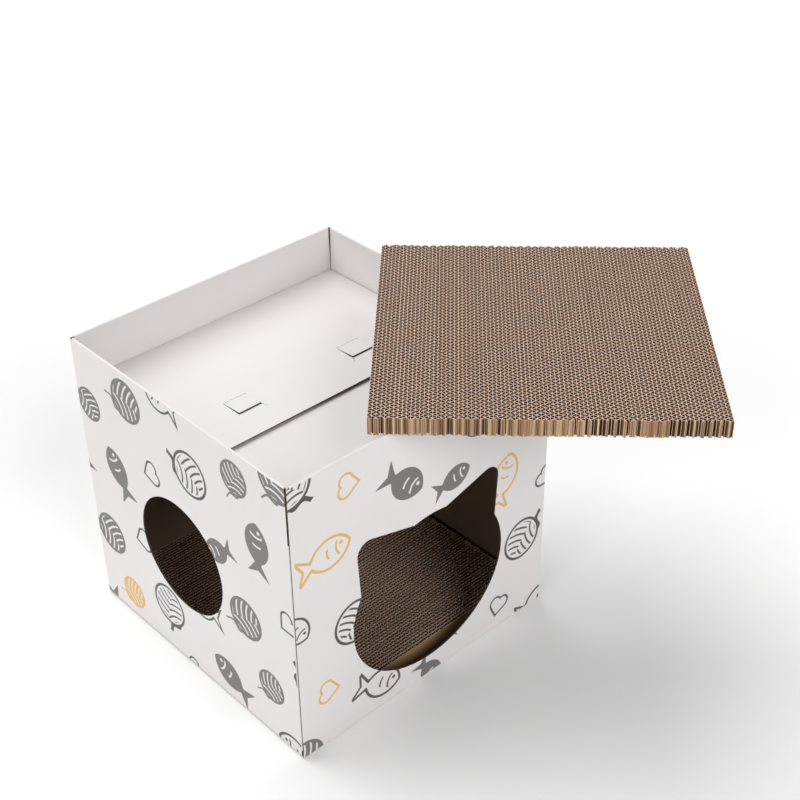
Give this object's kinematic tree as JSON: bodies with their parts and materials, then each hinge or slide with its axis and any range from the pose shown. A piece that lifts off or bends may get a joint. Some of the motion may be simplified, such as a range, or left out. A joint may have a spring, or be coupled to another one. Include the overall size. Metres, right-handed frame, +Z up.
{
  "type": "cat condo",
  "caption": "Folding board cat house, a cube with a cat-head doorway, a round window and a recessed top, with a scratch pad inside and another lying turned on the rim.",
  "frame": {"origin": "middle of the floor, on the ground", "axes": "+Z up, -Y out of the cat-head doorway, -X out of the round window"},
  "size_m": [0.6634, 0.659, 0.4172],
  "materials": {
    "printed_board": "matte",
    "white_board": "matte",
    "kraft_board": "matte",
    "scratch_board": "matte"
  },
  "bodies": {
    "house": {"front_wall": "printed_board", "left_wall": "printed_board", "back_wall": "printed_board", "right_wall": "printed_board", "glue_flap": "kraft_board", "front_rim_liner": "white_board", "left_rim_liner": "white_board", "back_rim_liner": "white_board", "right_rim_liner": "white_board", "top_front_flap": "white_board", "top_left_flap": "white_board", "top_right_flap": "white_board", "bottom_front_flap": "kraft_board", "bottom_back_flap": "kraft_board", "bottom_left_flap": "kraft_board", "bottom_right_flap": "kraft_board"},
    "back_flap": {"top_back_flap": "white_board"},
    "left_tongue": {"left_lock_tongue": "white_board"},
    "right_tongue": {"right_lock_tongue": "white_board"},
    "lower_scratch_pad": {"lower_pad": "scratch_board"},
    "upper_scratch_pad": {"upper_pad": "scratch_board"}
  },
  "joints": [
    {"name": "upper_pad_lift", "type": "slide", "parent": "house", "child": "upper_scratch_pad", "axis": [0, 0, 1], "range_m": [0, 0.2]},
    {"name": "lower_pad_lift", "type": "slide", "parent": "house", "child": "lower_scratch_pad", "axis": [0, 0, 1], "range_m": [0, 0.3]},
    {"name": "back_flap_fold", "type": "hinge", "parent": "house", "child": "back_flap", "pos_m": [0, 0.1974, 0.3312], "axis": [-1, 0, 0], "range_deg": [-0.7, 13.3]},
    {"name": "left_tongue_lift", "type": "hinge", "parent": "back_flap", "child": "left_tongue", "pos_m": [-0.087, 0.03861, 0.33314], "axis": [-1, 0, 0], "range_deg": [-4, 56]},
    {"name": "right_tongue_lift", "type": "hinge", "parent": "back_flap", "child": "right_tongue", "pos_m": [0.087, 0.03861, 0.33314], "axis": [-1, 0, 0], "range_deg": [-4, 56]}
  ]
}
